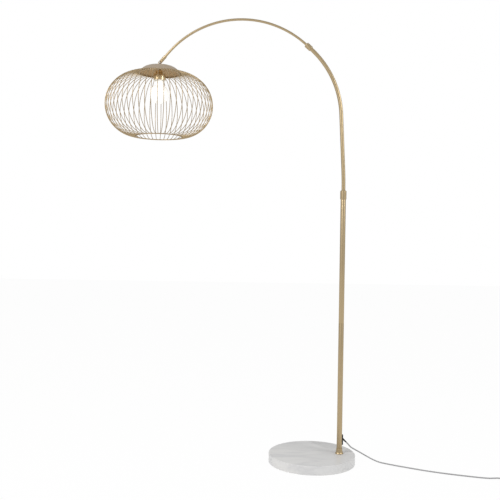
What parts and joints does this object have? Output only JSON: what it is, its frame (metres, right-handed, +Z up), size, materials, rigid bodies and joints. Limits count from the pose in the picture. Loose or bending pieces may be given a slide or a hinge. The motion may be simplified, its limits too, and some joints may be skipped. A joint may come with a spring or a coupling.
{
  "type": "arched floor lamp",
  "caption": "Arched floor lamp: marble disc, offset pole, swivelling bent arm, and a round wire cage shade that tilts over a globe bulb, with a corded foot switch",
  "frame": {"origin": "on the floor under the middle of the marble disc", "axes": "+Z up, the arm reaches towards -X over the disc, +Y is the side away from the camera"},
  "size_m": [1.793, 0.4518, 1.8464],
  "materials": {
    "marble": "honed pale grey marble with faint veins",
    "felt": "dark felt",
    "zinc_steel": "zinc-plated steel",
    "gold_paint": "satin gold",
    "dome_paint": "satin gold, taupe in shade",
    "wire_paint": "satin gold on welded wire",
    "nylon": "natural nylon",
    "black_plastic": "moulded black plastic",
    "grey_plastic": "moulded grey plastic",
    "button_plastic": "smooth dark grey plastic",
    "cord_rubber": "silver-grey sheath",
    "brass": "satin brass",
    "ceramic": "unglazed white ceramic",
    "cap_metal": "rolled aluminium thread",
    "opal_glass": "opal white, satin"
  },
  "bodies": {
    "stand": {"base_disc": "marble", "base_felt": "felt", "base_washer": "zinc_steel", "base_bolt": "zinc_steel", "pole_socket": "zinc_steel", "pole_foot": "gold_paint", "lower_pole": "gold_paint", "pole_sleeve": "zinc_steel", "upper_pole": "gold_paint", "cable_outlet": "black_plastic", "cord_relief": "black_plastic", "pole_lead": "cord_rubber", "swivel_bush": "nylon", "pole_ferrule": "gold_paint", "lead_cord": "cord_rubber", "switch_base": "grey_plastic", "switch_cover": "grey_plastic", "switch_block": "button_plastic", "tail_cord": "cord_rubber", "cord_coil": "cord_rubber", "plug_cord": "cord_rubber", "plug_body": "grey_plastic", "plug_prongs": "brass"},
    "switch_button": {"switch_button": "button_plastic"},
    "arm": {"lower_arm_tube": "gold_paint", "arm_collar": "gold_paint", "upper_arm_tube": "gold_paint", "tip_fork": "gold_paint", "hinge_pin": "zinc_steel", "arm_lead": "cord_rubber"},
    "shade": {"shade_knuckle": "gold_paint", "cap_nut": "zinc_steel", "shade_dome": "dome_paint", "top_hoop": "wire_paint", "cage_wires": "wire_paint", "bottom_hoop": "wire_paint", "lampholder_shell": "brass", "lampholder_insert": "ceramic", "lampholder_contact": "brass", "bulb_globe": "opal_glass", "bulb_cap": "cap_metal", "bulb_contact": "brass"}
  },
  "joints": [
    {"name": "arm_swivel", "type": "hinge", "parent": "stand", "child": "arm", "pos_m": [0.115, 0, 1.13], "axis": [0, 0, 1], "range_deg": [-170, 170]},
    {"name": "shade_tilt", "type": "hinge", "parent": "arm", "child": "shade", "pos_m": [-0.65715, 0, 1.65888], "axis": [0, 1, 0], "range_deg": [-25, 25]},
    {"name": "switch_press", "type": "slide", "parent": "stand", "child": "switch_button", "axis": [0, 0, -1], "range_m": [0, 0.0025], "stiffness_N_per_m": 900, "springref_m": -0.002}
  ]
}
